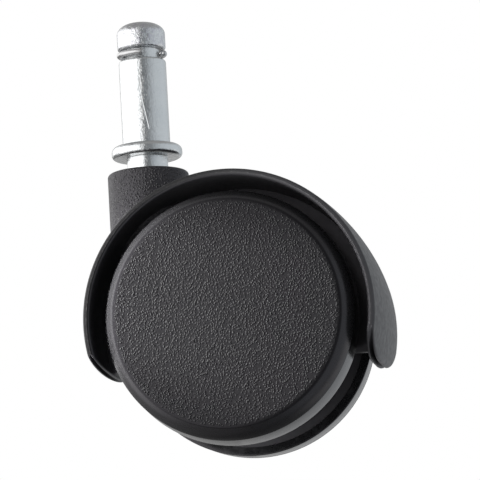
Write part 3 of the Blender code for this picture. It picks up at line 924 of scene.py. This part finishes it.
def light_below(n, turn, height):
    """How much of that light is left lower down: least at the left rear, most at the right front."""
    left = n.smooth(height, -0.85, -0.35, LEAST_LOW_LIGHT, 1.0)
    left_rear = n.smooth(height, -0.16, 0.08, LEAST_LOW_LIGHT, 1.0)
    right_front = n.smooth(height, -0.98, -0.75, 0.25, 1.0)
    right_rear = n.smooth(height, -0.7, -0.2, LEAST_LOW_LIGHT, 1.0)
    left = n.mix_value(n.window(turn, radians(-172, -160), radians(-124, -102)), left, left_rear)
    front = n.mix_value(n.smooth(turn, *radians(-12, 12)), left, right_front)
    return n.mix_value(n.smooth(turn, *radians(78, 100)), front, right_rear)


def make_world():
    """White paper to the eye. To the object, a big soft light on the left and dimmer ones elsewhere."""
    world = bpy.data.worlds.new("studio")
    bpy.context.scene.world = world
    world.use_nodes = True
    n = Nodes(world.node_tree)
    way = n.add("ShaderNodeTexCoord").outputs["Generated"]
    az = VIEW_AZIMUTH
    ahead = n.along(way, (math.sin(az), -math.cos(az), 0))
    aside = n.along(way, (math.cos(az), math.sin(az), 0))
    height = n.split(way)[2]
    turn = n.math("ARCTAN2", aside, ahead)
    light = n.mix(n.smooth(height, 0.35, 0.85, 1.0, 0.0), grey(0.14), light_round(n, turn))
    light = n.mix(light_below(n, turn, height), grey(0.025), light)
    low_card = n.times(
        n.window(turn, radians(92, 112), radians(110, 140)),
        n.window(height, (-0.9, -0.7), (-0.05, 0.12)),
    )
    light = n.mix(low_card, light, grey(0.36))
    lit = n.add("ShaderNodeBackground", {"Color": light, "Strength": LIGHT_STRENGTH}).outputs[0]
    paper = n.add("ShaderNodeBackground", {"Color": grey(1.0), "Strength": 1.0}).outputs[0]
    to_eye = n.add("ShaderNodeLightPath").outputs["Is Camera Ray"]
    both = n.add("ShaderNodeMixShader", {0: to_eye, 1: lit, 2: paper})
    n.add("ShaderNodeOutputWorld", {"Surface": both.outputs[0]})


def make_lamp(name, kind, at, target, power, **settings):
    """A lamp whose own shape doesn't show in the gloss."""
    data = bpy.data.lights.new(name, kind)
    data.energy = power
    for key, value in settings.items():
        setattr(data, key, value)
    lamp = bpy.data.objects.new(name, data)
    bpy.context.scene.collection.objects.link(lamp)
    lamp.location = at
    lamp.rotation_euler = (Vector(target) - lamp.location).to_track_quat("-Z", "Y").to_euler()
    lamp.visible_glossy = False


def make_lights():
    """A key close to the cover, a spot that skims past it and picks out the left shoulder, and a far fill."""
    middle = (AXLE.x, -0.018, AXLE.z)
    key = {"shape": "RECTANGLE", "size": 0.025, "size_y": 0.05}
    spot = {"spot_size": math.radians(14), "spot_blend": 0.85, "shadow_soft_size": 0.004}
    fill = {"shape": "RECTANGLE", "size": 0.15, "size_y": 0.15}
    make_lamp("key", "AREA", (-0.038, -0.043, -0.038), middle, 0.06, **key)
    make_lamp("side", "SPOT", (-0.16, -0.046, 0.03), (-0.004, -0.018, -0.030), 14.0, **spot)
    make_lamp("fill", "AREA", (0.06, -0.40, -0.10), middle, 0.10, **fill)


def floor_paper():
    """Pale paper that glows a little and fades to white far out."""
    material, n = surface("pale_floor")
    at = n.place_of()
    paper = n.mix(n.noise(at, 90, 3), grey(0.80), grey(0.83))
    far = n.smooth(n.radius(*n.split(at)[:2]), 0.5, 2.5)
    glow = {"Emission Color": grey(1.0), "Emission Strength": 0.35}
    near = n.add("ShaderNodeBsdfPrincipled", {"Base Color": paper, "Roughness": 0.9, **glow})
    away = n.add("ShaderNodeEmission", {"Color": grey(1.0), "Strength": 1.0})
    both = n.add("ShaderNodeMixShader", {0: far, 1: near.outputs[0], 2: away.outputs[0]})
    n.add("ShaderNodeOutputMaterial", {"Surface": both.outputs[0]})
    return material


def make_floor():
    """Pale floor, well below: the caster hangs by its stem, and the camera looks up at it."""
    bm = bmesh.new()
    bmesh.ops.create_circle(bm, cap_ends=True, segments=96, radius=FLOOR_R)
    floor = bpy.data.objects.new("floor", finish_mesh("floor", bm))
    bpy.context.scene.collection.objects.link(floor)
    floor.location = (0, 0, FLOOR_Z)
    floor.visible_glossy = False
    floor.visible_diffuse = False
    floor.data.materials.append(floor_paper())


def make_studio():
    make_camera()
    make_world()
    make_floor()
    make_lights()
    bpy.context.scene.view_settings.view_transform = "Standard"


# ---------------------------------------------------------------- assembly


def carry_over(steel, wire, turned, acetal):
    """CAD pieces that stay as they are get their finished material."""
    kept = {
        turned: ["axle_pin", "thrust_ball", "outer_washer_near", "outer_washer_far"],
        wire: ["stem_clip", "axle_clip_near", "axle_clip_far"],
        acetal: ["swivel_bush", "inner_washer_near", "inner_washer_far", "hub_bush_near", "hub_bush_far"],
    }
    for material, names in kept.items():
        for name in names:
            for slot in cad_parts[name].material_slots:
                slot.link = "OBJECT"
                slot.material = material


def main():
    steel = plated_steel()
    wire = ring_wire()
    turned = machined_steel()
    acetal = natural_acetal()
    nylon = wheel_nylon()
    tread = tread_plastic()
    cover = cover_nylon()
    make_stem(steel)
    make_grip_ring(wire)
    make_hood(hood_nylon())
    for side in ("near", "far"):
        make_wheel(side, nylon, tread, cover)
    carry_over(steel, wire, turned, acetal)
    make_studio()


main()
